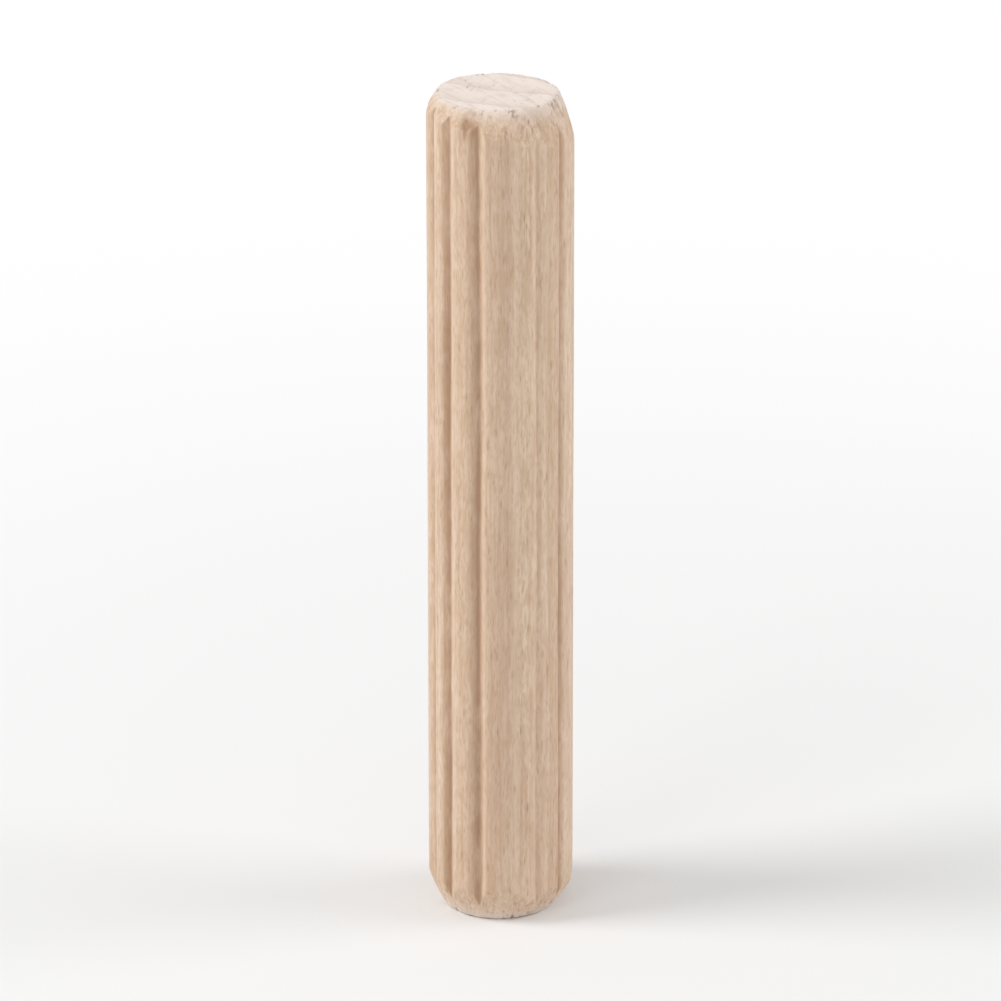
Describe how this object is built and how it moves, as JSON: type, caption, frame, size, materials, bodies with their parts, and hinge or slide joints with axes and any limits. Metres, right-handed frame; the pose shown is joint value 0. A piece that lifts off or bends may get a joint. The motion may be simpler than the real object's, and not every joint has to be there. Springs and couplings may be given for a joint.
{
  "type": "dowel pin",
  "caption": "Round wooden dowel pin with flutes pressed along its length and bevelled ends, glued into matching holes to line up and join two boards.",
  "frame": {"origin": "centre of the lower end face", "axes": "+Z along the pin's axis, from the lower end to the upper end; +X through the root of a flute"},
  "size_m": [0.006, 0.006, 0.035],
  "materials": {
    "beech": "bare, dry, pale hardwood with rough end grain"
  },
  "bodies": {
    "root": {"dowel_pin": "beech"}
  },
  "joints": []
}
